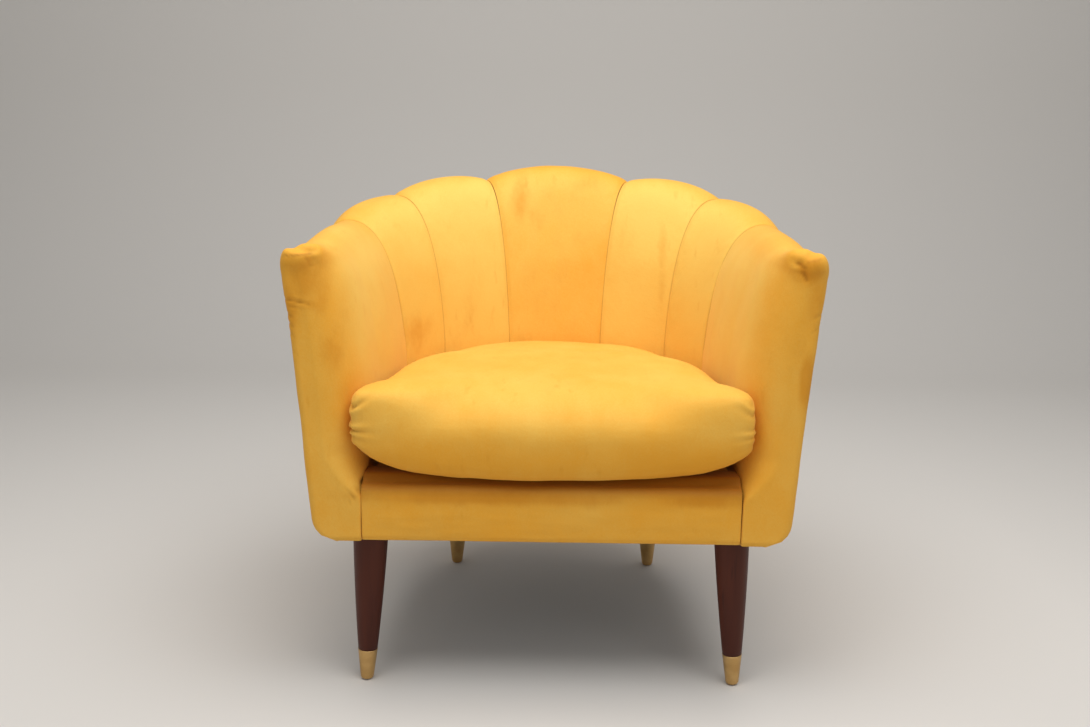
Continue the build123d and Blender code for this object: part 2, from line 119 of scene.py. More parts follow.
def bezier(points, count):
    t = np.linspace(0, 1, count)[:, None]
    a, b, c, d = np.array(points, float)
    return a * (1 - t) ** 3 + 3 * b * t * (1 - t) ** 2 + 3 * c * t**2 * (1 - t) + d * t**3


def outerFace(section, z):
    low = seatBottom + tub["bottomRound"]
    high = section["ridgeZ"] - section["drop"]
    return tub["wall"] + (section["outerN"] - tub["wall"]) * (z - low) / (high - low)


# n of the inner face and shoulder at heights z
def innerN(section, z):
    rise = section["ridgeZ"] - tub["lean"]
    curve = bezier(
        [
            (0, tub["lean"]),
            (section["lean"], section["ridgeZ"] - 0.4 * rise),
            (section["shoulder"], section["ridgeZ"]),
            (section["ridgeN"], section["ridgeZ"]),
        ],
        200,
    )
    return np.interp(z, curve[:, 1], curve[:, 0], left=0)


# n of the top roll and the outer face at heights z
def outerN(section, z):
    ridge, outer, top = section["ridgeN"], section["outerN"], section["ridgeZ"]
    curve = bezier(
        [
            (ridge, top),
            ((ridge + outer) / 2, top),
            (outer + 0.001, top - 0.45 * section["drop"]),
            (outer, top - section["drop"]),
        ],
        200,
    )[::-1]
    low = seatBottom + tub["bottomRound"]
    z = np.asarray(z, float)
    n = np.where(z >= top - section["drop"], np.interp(z, curve[:, 1], curve[:, 0]), outerFace(section, z))
    below = np.clip((low - z) / tub["bottomRound"], 0, 1)
    return np.where(z < low, tub["wall"] - tub["bottomRound"] * (1 - np.sqrt(1 - below**2)), n)


# Smooth noise from -1 to 1 at each point, the same in every run
def wobble(points, size, seed):
    offset = Vector((seed * 7.3, seed * 3.1, seed * 5.7))
    values = [noise.noise(Vector(p) / size + offset) for p in points.reshape(-1, 3)]
    return np.array(values).reshape(points.shape[:-1])


def gauss(distance, width):
    return np.exp(-((distance / width) ** 2))


def smoothStep(x):
    x = np.clip(x, 0, 1)
    return x * x * (3 - 2 * x)


def gridNormals(grid):
    along = np.gradient(grid, axis=0)
    across = np.gradient(grid, axis=1)
    normal = np.cross(along, across)
    return normal / np.maximum(np.linalg.norm(normal, axis=2, keepdims=True), 1e-9)


# Distance from each point to a segment, and how far along the segment it is
def segmentDistance(points, start, end):
    start, end = np.array(start, float), np.array(end, float)
    axis = end - start
    share = np.clip(((points - start) @ axis) / (axis @ axis), 0, 1)
    return np.linalg.norm(points - start - share[..., None] * axis, axis=-1), share


def meshFrom(name, vertices, faces, material):
    data = bpy.data.meshes.new(name)
    data.from_pydata([tuple(map(float, v)) for v in vertices], [], faces)
    data.validate()
    data.update()
    piece = bpy.data.objects.new(name, data)
    scene.collection.objects.link(piece)
    data.materials.append(material)
    data.polygons.foreach_set("use_smooth", [True] * len(data.polygons))
    return piece


def gridFaces(rows, columns, closeColumns=False, start=0):
    faces = []
    for i in range(rows - 1):
        for j in range(columns if closeColumns else columns - 1):
            a = start + i * columns + j
            b = start + i * columns + (j + 1) % columns
            faces.append((a, b, b + columns, a + columns))
    return faces


def pointsOf(piece):
    points = np.zeros(len(piece.data.vertices) * 3)
    piece.data.vertices.foreach_get("co", points)
    return points.reshape(-1, 3)


def addValue(piece, name, values):
    attribute = piece.data.attributes.new(name, "FLOAT", "POINT")
    attribute.data.foreach_set("value", np.asarray(values, np.float32).ravel())


def weld(piece, distance=0.0002):
    mesh = bmesh.new()
    mesh.from_mesh(piece.data)
    bmesh.ops.remove_doubles(mesh, verts=mesh.verts, dist=distance)
    bmesh.ops.recalc_face_normals(mesh, faces=mesh.faces)
    mesh.to_mesh(piece.data)
    mesh.free()


def thicken(piece, thickness):
    modifier = piece.modifiers.new("thickness", "SOLIDIFY")
    modifier.thickness = thickness
    modifier.offset = -1


def place(piece, body, slot, *nodes):
    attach(piece, body)
    if nodes:
        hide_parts(*nodes)


class Socket:
    # A node output with arithmetic, so that a pattern reads as a formula.
    def __init__(self, tree, output):
        self.tree = tree
        self.output = output

    def node(self, kind, settings, inputs, output=0):
        node = self.tree.nodes.new(kind)
        for key, value in settings.items():
            setattr(node, key, value)
        for key, value in inputs.items():
            if isinstance(value, Socket):
                self.tree.links.new(value.output, node.inputs[key])
            else:
                node.inputs[key].default_value = value
        return Socket(self.tree, node.outputs[output])

    def math(self, operation, *values):
        return self.node("ShaderNodeMath", {"operation": operation}, dict(enumerate((self, *values))))

    def __add__(self, other):
        return self.math("ADD", other)

    def __sub__(self, other):
        return self.math("SUBTRACT", other)

    def __mul__(self, other):
        return self.math("MULTIPLY", other)

    def __truediv__(self, other):
        return self.math("DIVIDE", other)

    def __pow__(self, other):
        return self.math("POWER", other)

    __radd__ = __add__
    __rmul__ = __mul__

    def clamp(self, low, high):
        return self.math("MAXIMUM", low).math("MINIMUM", high)

    def ramp(self, low, high):
        settings = {"interpolation_type": "SMOOTHSTEP"}
        return self.node("ShaderNodeMapRange", settings, {"Value": self, "From Min": low, "From Max": high})

    def mix(self, a, b):
        return self.node("ShaderNodeMix", {"data_type": "RGBA"}, {"Factor": self, 6: a, 7: b}, 2)


# A Principled material, its shader node and the Object coordinates
def material(name, **constants):
    made = bpy.data.materials.new(name)
    made.use_nodes = True
    tree = made.node_tree
    shader = tree.nodes["Principled BSDF"]
    for key, value in constants.items():
        shader.inputs[key.replace("_", " ")].default_value = value
    coordinates = tree.nodes.new("ShaderNodeTexCoord")
    return made, shader, Socket(tree, coordinates.outputs["Object"])


def noiseOf(where, scale, detail=2, stretch=None, roughness=0.5):
    if stretch:
        where = where.node("ShaderNodeMapping", {}, {"Vector": where, "Scale": stretch})
    inputs = {"Vector": where, "Scale": scale, "Detail": detail, "Roughness": roughness}
    return where.node("ShaderNodeTexNoise", {}, inputs)


def attribute(where, name):
    return where.node("ShaderNodeAttribute", {"attribute_name": name}, {}, "Fac")


def connect(shader, name, socket):
    socket.tree.links.new(socket.output, shader.inputs[name])


def bump(where, height, distance, strength):
    return where.node("ShaderNodeBump", {}, {"Height": height, "Distance": distance, "Strength": strength})


# Velvet colours: base and light are the velvet's own colours, which painted light and shade also move
# between; dark is for nap marks and spots of painted shadow; deep is the colour of painted shade
velvetLook = {
    "base": (0.84, 0.375, 0.026, 1),
    "light": (0.87, 0.595, 0.135, 1),
    "dark": (0.66, 0.245, 0.008, 1),
    "paintedShadeColour": (0.27, 0.080, 0.004, 1),
    "sheenTint": (1.0, 0.86, 0.55, 1),
}


def makeVelvet(name):
    look = velvetLook
    made, shader, where = material(
        name,
        Roughness=0.62,
        Specular_IOR_Level=0.15,
        Sheen_Weight=0.14,
        Sheen_Roughness=0.4,
        Sheen_Tint=look["sheenTint"],
    )
    painted_light = attribute(where, "painted_light")
    nap_and_shade = attribute(where, "nap_and_shade")
    painted_shade = attribute(where, "painted_shade")
    cloud = noiseOf(where, 4.5, 3, roughness=0.55)
    patch = noiseOf(where, 16.0, 5, stretch=(0.8, 0.6, 0.6), roughness=0.62)
    brushed = noiseOf(where, 48.0, 4, stretch=(1, 0.5, 0.45), roughness=0.6)
    strokes = noiseOf(where, 75.0, 3, stretch=(1, 0.4, 0.30), roughness=0.5).ramp(0.60, 0.76)
    pile = noiseOf(where, 420.0, 2)
    lift = (cloud - 0.5) * 0.7 + (patch - 0.5) * 0.35 + (brushed - 0.5) * 0.22 + (pile - 0.5) * 0.30
    # Painted light and shade: the tone attribute makes faces lighter or darker to stand for how the light
    # falls on them; the noises are the velvet's own uneven colour
    colour = (lift + painted_light).ramp(-0.45, 0.75).mix(look["base"], look["light"])
    # Darker marks where the pile is brushed the other way, together with spots of painted shadow from the
    # rub attribute along the top of the front border
    marks = (nap_and_shade * 1.5 + (patch - 0.5) * 0.9 + (brushed - 0.5) * 0.5).ramp(0.14, 0.72)
    marks = marks + strokes * cloud.ramp(0.40, 0.62) * 0.32
    colour = (marks * 0.62).clamp(0, 0.8).mix(colour, look["dark"])
    # Painted shade: the seam attribute darkens seam valleys, fold creases, pleat valleys, the top of the
    # front border and the deck under the cushion towards the deep colour
    colour = (painted_shade * 0.62).clamp(0, 0.9).mix(colour, look["paintedShadeColour"])
    connect(shader, "Base Color", colour)
    connect(shader, "Roughness", 0.55 + cloud * 0.16)
    height = pile * 0.5 + noiseOf(where, 150.0, 2) * 0.9 + noiseOf(where, 30.0, 2) * 1.4
    connect(shader, "Normal", bump(where, height, 0.0005, 0.6))
    return made


# Straight-grained wood that runs up the piece
def makeWood(name, base, dark, scale, roughness, coat):
    made, shader, where = material(name, Coat_Weight=coat, Coat_Roughness=0.25, Specular_IOR_Level=0.25)
    grain = noiseOf(where, scale, 4, stretch=(1, 1, 0.06))
    pores = noiseOf(where, scale * 9, 2, stretch=(1, 1, 0.03))
    colour = grain.ramp(0.3, 0.7).mix(base, dark)
    colour = (pores.ramp(0.62, 0.75) * 0.5).mix(colour, tuple(c * 0.5 for c in dark[:3]) + (1,))
    connect(shader, "Base Color", colour)
    connect(shader, "Roughness", roughness + grain * 0.15)
    connect(shader, "Normal", bump(where, pores, 0.0002, 0.25))
    return made


# Edge of birch plywood: thin light and dark layers, one above the other
def makePly(name):
    made, shader, where = material(name, Roughness=0.6)
    inputs = {"Vector": where, "Scale": 110.0, "Distortion": 0.4}
    layer = where.node("ShaderNodeTexWave", {"bands_direction": "Z"}, inputs)
    colour = layer.ramp(0.35, 0.65).mix((0.46, 0.30, 0.165, 1), (0.64, 0.46, 0.28, 1))
    connect(shader, "Base Color", colour)
    return made


def makeBrass(name):
    made, shader, where = material(name, Metallic=1.0, Roughness=0.34)
    tarnish = noiseOf(where, 45.0, 3)
    colour = tarnish.ramp(0.3, 0.75).mix((0.66, 0.43, 0.18, 1), (0.54, 0.33, 0.12, 1))
    connect(shader, "Base Color", colour)
    brush = noiseOf(where, 700.0, 2, stretch=(1, 1, 0.05))
    connect(shader, "Roughness", 0.30 + brush * 0.16)
    connect(shader, "Normal", bump(where, brush, 0.0001, 0.3))
    return made


# Plain weave from two crossed waves
def makeWoven(name, light, dark, pitch, roughness=0.85):
    made, shader, where = material(name, Roughness=roughness)
    scale = tau / pitch / 20
    warp = where.node("ShaderNodeTexWave", {"bands_direction": "X"}, {"Vector": where, "Scale": scale})
    weft = where.node("ShaderNodeTexWave", {"bands_direction": "Y"}, {"Vector": where, "Scale": scale})
    rise = warp * weft
    uneven = noiseOf(where, 30.0, 3)
    connect(shader, "Base Color", (rise * 0.6 + uneven * 0.4).mix(dark, light))
    connect(shader, "Normal", bump(where, rise, pitch / 5, 0.8))
    return made


def makePlain(name, colour, roughness, metallic=0.0, mottle=0.25):
    made, shader, where = material(name, Metallic=metallic)
    uneven = noiseOf(where, 60.0, 3)
    darker = tuple(c * (1 - mottle) for c in colour[:3]) + (1,)
    connect(shader, "Base Color", uneven.ramp(0.3, 0.7).mix(darker, colour))
    connect(shader, "Roughness", roughness + uneven * 0.12)
    connect(shader, "Normal", bump(where, noiseOf(where, 500.0, 2), 0.0001, 0.3))
    return made


looks = {
    "velvet": (makeVelvet,),
    "leg_wood": (makeWood, (0.115, 0.020, 0.004, 1), (0.060, 0.010, 0.003, 1), 22.0, 0.42, 0.05),
    "beech": (makeWood, (0.60, 0.40, 0.23, 1), (0.50, 0.31, 0.17, 1), 18.0, 0.55, 0.0),
    "plywood": (makePly,),
    "brass": (makeBrass,),
    "nylon": (makePlain, (0.05, 0.045, 0.04, 1), 0.45),
    "zinc_steel": (makePlain, (0.56, 0.56, 0.54, 1), 0.3, 1.0),
    "webbing": (makeWoven, (0.10, 0.10, 0.11, 1), (0.03, 0.03, 0.035, 1), 0.003),
    "hessian": (makeWoven, (0.50, 0.38, 0.23, 1), (0.26, 0.18, 0.10, 1), 0.0025),
    "dust_cloth": (makeWoven, (0.035, 0.035, 0.035, 1), (0.012, 0.012, 0.012, 1), 0.0016, 0.95),
    "board": (makePlain, (0.26, 0.15, 0.08, 1), 0.6),
    "filling": (makePlain, (0.85, 0.82, 0.72, 1), 0.9, 0.0, 0.1),
}
slotLooks = {name: make(name, *values) for name, (make, *values) in looks.items()}
velvet, walnut, brass = [slotLooks[name] for name in ("velvet", "leg_wood", "brass")]
for part in frame["record"]["subparts"]:
    mesh = frame["nodes"][part["node"]].data
    mesh.materials.clear()
    mesh.materials.append(slotLooks[part["material_slot"]])
print("materials")


# Where the pile is brushed the other way, and patches of painted shadow along the top of the front border
# under the cushion: centre, half sizes and strength
napAndShadeSpots = [
    ((-0.345, -0.345, 0.606), (0.040, 0.06, 0.012), 0.30),
    ((-0.330, -0.345, 0.612), (0.016, 0.06, 0.040), 0.36),
    ((-0.296, -0.340, 0.585), (0.020, 0.06, 0.016), 0.30),
    ((-0.320, -0.345, 0.535), (0.020, 0.06, 0.046), 0.40),
    ((-0.360, -0.340, 0.640), (0.030, 0.06, 0.050), 0.34),
    ((-0.366, -0.335, 0.664), (0.030, 0.06, 0.018), 0.30),
    ((-0.376, -0.340, 0.600), (0.016, 0.06, 0.060), 0.36),
    ((0.366, -0.335, 0.500), (0.012, 0.06, 0.042), 0.62),
    ((0.360, -0.335, 0.662), (0.020, 0.06, 0.024), 0.60),
    ((0.372, -0.335, 0.620), (0.018, 0.06, 0.060), 0.34),
    ((0.350, -0.335, 0.540), (0.030, 0.06, 0.050), 0.22),
    # Painted shadow of the cushion's nose on the top of the front border
    ((-0.10, -0.34, 0.318), (0.24, 0.04, 0.012), 0.42),
    ((0.22, -0.34, 0.318), (0.08, 0.04, 0.012), 0.42),
    ((-0.02, -0.335, 0.27), (0.20, 0.03, 0.02), 0.12),
    ((-0.068, 0.20, 0.70), (0.022, 0.2, 0.060), 0.26),
    ((0.060, 0.20, 0.73), (0.050, 0.2, 0.025), 0.24),
    ((0.00, 0.20, 0.60), (0.10, 0.2, 0.22), 0.16),
    ((-0.225, 0.06, 0.47), (0.050, 0.15, 0.05), 0.30),
    ((-0.150, 0.17, 0.55), (0.020, 0.15, 0.10), 0.18),
    ((0.120, 0.17, 0.62), (0.03, 0.15, 0.05), 0.14),
    ((0.192, 0.14, 0.55), (0.010, 0.15, 0.14), 0.24),
    ((0.01, -0.28, 0.468), (0.07, 0.05, 0.03), 0.16),
    ((-0.12, 0.02, 0.48), (0.22, 0.08, 0.03), 0.14),
]


# Gives a velvet piece the attributes that its material reads: nap marks with spots of painted shadow,
# painted shade in seams and creases, and a tone of painted light and shade
def dress(piece, painted_shade, painted_light):
    points = pointsOf(piece)
    count = len(points)
    nap_and_shade = np.zeros(count)
    for centre, size, strength in napAndShadeSpots:
        reach = ((points - np.array(centre)) / np.array(size)) ** 2
        nap_and_shade = np.maximum(nap_and_shade, strength * np.exp(-reach.sum(axis=1) * 0.9))
    addValue(piece, "nap_and_shade", nap_and_shade)
    addValue(piece, "painted_shade", painted_shade)
    addValue(piece, "painted_light", np.full(count, float(painted_light)) if np.isscalar(painted_light) else painted_light)
    piece.data.materials.clear()
    piece.data.materials.append(velvet)


channelLook = {
    "columns": 72,
    "faceRows": 70,
    "rollRows": 34,
    "foot": 0.33,
    "groove": 0.0020,
    "grooveWidth": 0.0044,
    "tuckIn": 0.010,
    # Width and strength of the painted shade along the seams, and painted shade that darkens the tops of
    # the channels
    "seamShadeWidth": 0.0007,
    "seamPaintedShade": 0.6,
    "topPaintedShade": -0.38,
    "pucker": 0.0006,
    "lipDrop": 0.060,
}
armLook = {
    "insideColumns": 70,
    "cornerColumns": 22,
    "frontColumns": 34,
    "edgeColumns": 9,
    "lowRows": 26,
    "highRows": 84,
    "innerRound": 0.062,
    "innerDepth": 0.125,
    "outerRound": 0.010,
    "topRound": 0.020,
    "puff": 0.005,
    # Painted light and shade: the arm fronts a little darker, the insides lighter
    "frontPaintedShade": -0.06,
    "insidePaintedLight": 0.44,
    "evenPasses": 14,
    # Width of the painted shade along the seam
    "seamShadeWidth": 0.0020,
    "cornerFrom": 0.316,
    "cornerTo": 0.400,
    "lastRun": 0.70,
    "swellLength": 0.35,
    "foldReach": 0.070,
    "foldFade": 0.015,
}
coverLook = {
    "columns": 150,
    "armColumns": 70,
    "rows": 60,
    "bendRows": 14,
    # Width of the painted shade along the seams
    "seamShadeWidth": 0.0012,
    "groove": 0.0024,
    "grooveWidth": 0.003,
    "bulge": 0.003,
    "height": 0.4,
    # The outside covers' tone, a painted shade a little darker than neutral
    "painted_light": -0.02,
}
# Each channel's tone is painted light: the channels beside the centre are painted lighter than the centre
# one
channels = {
    "channel_centre": {"from": -0.084, "to": 0.084, "puff": 0.009, "rise": 0.021, "painted_light": 0.20},
    "channel_inner_left": {"from": -0.208, "to": -0.084, "puff": 0.008, "rise": 0.013, "painted_light": 0.48},
    "channel_inner_right": {"from": 0.084, "to": 0.208, "puff": 0.008, "rise": 0.013, "painted_light": 0.48},
    "channel_outer_left": {"from": -0.326, "to": -0.208, "puff": 0.007, "rise": 0.006, "painted_light": 0.46},
    "channel_outer_right": {"from": 0.208, "to": 0.326, "puff": 0.007, "rise": 0.006, "painted_light": 0.46},
}


# Point at n outwards and z up from the inner face at a run, which is negative on the left
def wallPoint(run, n, z):
    side = -1 if run < 0 else 1
    section = sectionAt(abs(run))
    x, y = planPoint(abs(run), side)
    return x + side * n * sin(section["heading"]), y + n * cos(section["heading"]), z


# n and z of one upright line over a channel, from its foot over the crest to the lip outside
def channelRows(section, rise):
    top = section["ridgeZ"]
    t = np.linspace(0, 1, channelLook["faceRows"])
    faceZ = channelLook["foot"] + (top - channelLook["foot"]) * (1 - (1 - t) ** 2.0)
    face = np.stack([innerN(section, faceZ), faceZ], axis=1)
    low = top - section["drop"] - channelLook["lipDrop"]
    t = np.linspace(0, 1, channelLook["rollRows"] + 1)[1:]
    rollZ = top - (top - low) * t**2.0
    roll = np.stack([outerN(section, rollZ), rollZ], axis=1)
    line = np.concatenate([face, roll])
    above = smoothStep((line[:, 1] - 0.60) / (top - 0.60))
    line[:, 1] += rise * above
    return line, len(face)


def makeChannel(name, look):
    columns = channelLook["columns"]
    share = (1 - np.cos(np.linspace(0, pi, columns))) / 2
    span = look["to"] - look["from"]
    grid, puffs = [], []
    for s in share:
        run = look["from"] + span * s
        swell = 1 - abs(2 * s - 1) ** 2.0
        line, faceRows = channelRows(sectionAt(abs(run)), look["rise"] * swell)
        grid.append([wallPoint(run, n, z) for n, z in line])
        puffs.append(swell)
    grid = np.array(grid)
    normal = gridNormals(grid)
    rows = grid.shape[1]
    inward = normal[columns // 2, 20]
    if inward[1] > 0:
        normal = -normal
    edge = np.minimum(share, 1 - share)[:, None] * span
    down = np.linspace(0, 1, rows - faceRows)
    along = np.concatenate([np.ones(faceRows), 0.15 + 0.55 * np.sin(pi * down ** 0.8)])
    fade = 1 - 0.85 * smoothStep((grid[..., 2] - 0.58) / 0.12) * (np.arange(rows) < faceRows)
    puff = look["puff"] * np.array(puffs)[:, None] * along[None, :] * fade
    groove = channelLook["groove"] * gauss(edge, channelLook["grooveWidth"])
    tuck = channelLook["tuckIn"] * (edge < 1e-6)
    soft = wobble(grid, 0.11, 1) * 0.0016
    pull = wobble(grid * np.array((1, 1, 1.6)), 0.013, 2) * channelLook["pucker"] * gauss(edge, 0.022)
    grid = grid + normal * (puff - groove - tuck + (soft + pull) * smoothStep(edge / 0.006))[..., None]
    piece = meshFrom(name.replace("channel", "pad"), grid.reshape(-1, 3), gridFaces(columns, rows), velvet)
    weld(piece, 1e-6)
    places = abs(look["from"] + span * share)
    # Painted shade along the seams; painted light from the channel's tone, darker towards the crest and
    # blending into the outside cover's tone over the roll
    line = np.where(places > 0.30, armLook["seamShadeWidth"], channelLook["seamShadeWidth"])[:, None]
    painted_shade = gauss(np.repeat(edge, rows, axis=1), line)
    up = smoothStep((np.arange(rows) / faceRows - 0.72) / 0.28) * channelLook["topPaintedShade"]
    painted_light = look["painted_light"] + up
    painted_light[faceRows:] += (coverLook["painted_light"] - painted_light[faceRows:]) * smoothStep(down * 1.6)
    dress(piece, painted_shade.ravel() * channelLook["seamPaintedShade"], np.tile(painted_light, columns))
    thicken(piece, 0.004)
    place(piece, "chair", "velvet", name)


for name, look in channels.items():
    makeChannel(name, look)
print("channels")


# Folds on the arm fronts, seen from the front: x and z of two ends, depth and width
folds = {
    -1: [
        ((-0.384, 0.677), (-0.346, 0.678), 0.0070, 0.0032),
        ((-0.352, 0.676), (-0.346, 0.662), 0.0042, 0.0050),
        ((-0.382, 0.613), (-0.350, 0.606), 0.0030, 0.0024),
        ((-0.380, 0.604), (-0.362, 0.600), 0.0016, 0.0020),
        ((-0.383, 0.592), (-0.373, 0.586), 0.0020, 0.0022),
        ((-0.382, 0.578), (-0.373, 0.573), 0.0020, 0.0022),
        ((-0.379, 0.564), (-0.372, 0.558), 0.0018, 0.0022),
        ((-0.374, 0.536), (-0.368, 0.531), 0.0014, 0.0022),
        ((-0.270, 0.358), (-0.286, 0.331), 0.0075, 0.0030),
        ((-0.284, 0.333), (-0.298, 0.311), 0.0030, 0.0034),
    ],
    1: [
        ((0.346, 0.673), (0.354, 0.668), 0.0055, 0.0050),
        ((0.353, 0.662), (0.358, 0.650), 0.0050, 0.0046),
        ((0.358, 0.676), (0.374, 0.680), 0.0036, 0.0046),
        ((0.382, 0.600), (0.370, 0.594), 0.0016, 0.0022),
        ((0.380, 0.580), (0.370, 0.574), 0.0014, 0.0022),
        ((0.259, 0.370), (0.272, 0.334), 0.0075, 0.0030),
        ((0.270, 0.338), (0.281, 0.318), 0.0030, 0.0034),
    ],
}
# Soft lumps beside the folds: centre, radius and height
lumps = {
    -1: [((-0.374, -0.335, 0.672), 0.015, 0.0100), ((-0.350, -0.325, 0.682), 0.028, 0.0085),
         ((-0.380, -0.335, 0.635), 0.030, 0.0030)],
    1: [((0.374, -0.335, 0.672), 0.015, 0.0090), ((0.352, -0.325, 0.682), 0.028, 0.0080),
        ((0.380, -0.335, 0.635), 0.030, 0.0020)],
}


# Share of the height above the lean at each row: dense near the crest
def armSlice(share):
    return 1 - (1 - share) ** 2.0


def armRuns(frontRun):
    share = 1 - np.cos(np.linspace(0, pi / 2, armLook["insideColumns"]))
    return armSeam + (frontRun - armSeam) * share


# Places of the columns from the seam, 0, to the front, 1: close together at the seam
def armShares():
    return np.linspace(0, 1, armLook["insideColumns"]) ** 2


# How far the inner corner of an arm front has opened at a height: 0 at the border, 1 above it
def cornerOpening(z):
    start, finish = armLook["cornerFrom"], armLook["cornerTo"]
    return np.sqrt(smoothStep((z - start) / (finish - start)))


# Where a row through the slices comes to the depth y: one point for each row
def columnAt(slices, depths):
    column = []
    for y, row in zip(depths, slices.transpose(1, 0, 2)):
        column.append([np.interp(-y, -row[:, 1], row[:, 0]), y, np.interp(-y, -row[:, 1], row[:, 2])])
    return np.array(column)


# 1 on the front of an arm, 0 behind it
def onFront(points):
    return smoothStep((frontY + armLook["foldReach"] - points[:, 1]) / armLook["foldFade"])


# Columns run from the seam along the inside, round the corner and over the front to the outer edge
def armGrid(side):
    look = armLook
    lowZ = np.linspace(seatBottom, tub["lean"], look["lowRows"], endpoint=False)
    highShare = armSlice(np.linspace(0, 1, look["highRows"]))
    frontRun = armRun + (cornerY + tub["cornerRadius"] * sin(slope) - frontY) / cos(slope)
    frontSection = sectionAt(frontRun)
    inner, outer = [], []
    frontSection["run"] = frontRun
    for run in armRuns(frontRun):
        section = sectionAt(run)
        z = np.concatenate([lowZ, tub["lean"] + (section["ridgeZ"] - tub["lean"]) * highShare])
        inner.append([wallPoint(run, n, h) for n, h in zip(innerN(section, z), z)])
        outer.append([wallPoint(run, n, h) for n, h in zip(outerN(section, z), z)])
    inner, outer = np.array(inner), np.array(outer)
    inner[..., 0] *= side
    outer[..., 0] *= side
    height = inner[-1, :, 2]
    width = abs(outer[-1, :, 0] - inner[-1, :, 0])
    innerRound = np.minimum(0.002 + (look["innerRound"] - 0.002) * cornerOpening(height), width * 0.72)
    innerDepth = innerRound * look["innerDepth"] / look["innerRound"]
    outerRound = np.minimum(look["outerRound"], width * 0.20)
    fall = np.clip((height - frontSection["ridgeZ"] + look["topRound"]) / look["topRound"], 0, 1)
    faceY = frontY + look["topRound"] * (1 - np.sqrt(1 - fall**2))
    columns = []
    reach = faceY + innerDepth
    for share in armShares():
        columns.append(columnAt(inner, inner[0, :, 1] + (reach - inner[0, :, 1]) * share))
    corner = columns[-1]
    for i in range(1, look["cornerColumns"] + 1):
        angle = pi / 2 * i / look["cornerColumns"]
        x = corner[:, 0] + side * innerRound * (1 - cos(angle))
        columns.append(np.stack([x, faceY + innerDepth * (1 - sin(angle)), corner[:, 2]], axis=1))
    start = columns[-1]
    outerX = outer[-1, :, 0]
    for i in range(1, look["frontColumns"] + 1):
        share = i / look["frontColumns"]
        x = start[:, 0] + (outerX - side * outerRound - start[:, 0]) * share
        columns.append(np.stack([x, faceY, start[:, 2]], axis=1))
    for i in range(1, look["edgeColumns"] + 1):
        angle = pi / 2 * i / look["edgeColumns"]
        x = outerX - side * outerRound * (1 - sin(angle))
        columns.append(np.stack([x, faceY + outerRound * (1 - cos(angle)), start[:, 2]], axis=1))
    grid = np.array(columns)
    last = look["insideColumns"] + look["cornerColumns"] + 6
    for _ in range(look["evenPasses"]):
        grid[1:last] = grid[:last - 1] * 0.25 + grid[1:last] * 0.5 + grid[2:last + 1] * 0.25
    return grid, outer, frontSection


# Height of the seam under the top roll
def lipZ(section):
    return section["ridgeZ"] - section["drop"] - channelLook["lipDrop"]


# Outer half of the top roll, from the front edge back to the seam
def rollGrid(side, edge, outer, frontSection):
    first = int(np.searchsorted(edge[:, 2], lipZ(frontSection))) - 1
    overlap = lipZ(frontSection) - edge[first, 2]
    outer = outer.copy()
    for i, run in enumerate(armRuns(frontSection["run"])):
        section = sectionAt(run)
        top = section["ridgeZ"]
        z = outer[i, first:, 2]
        z = top - (top - z) * (top - lipZ(section) + overlap) / (top - z[0])
        points = np.array([wallPoint(run, n, h) for n, h in zip(outerN(section, z), z)])
        outer[i, first:] = points * np.array((side, 1, 1))
    outer, edge = outer[:, first:], edge[first:]
    columns = [edge]
    for share in (1 - armShares()[::-1])[1:]:
        columns.append(columnAt(outer, edge[:, 1] + (outer[0, :, 1] - edge[:, 1]) * share))
    return np.array(columns)


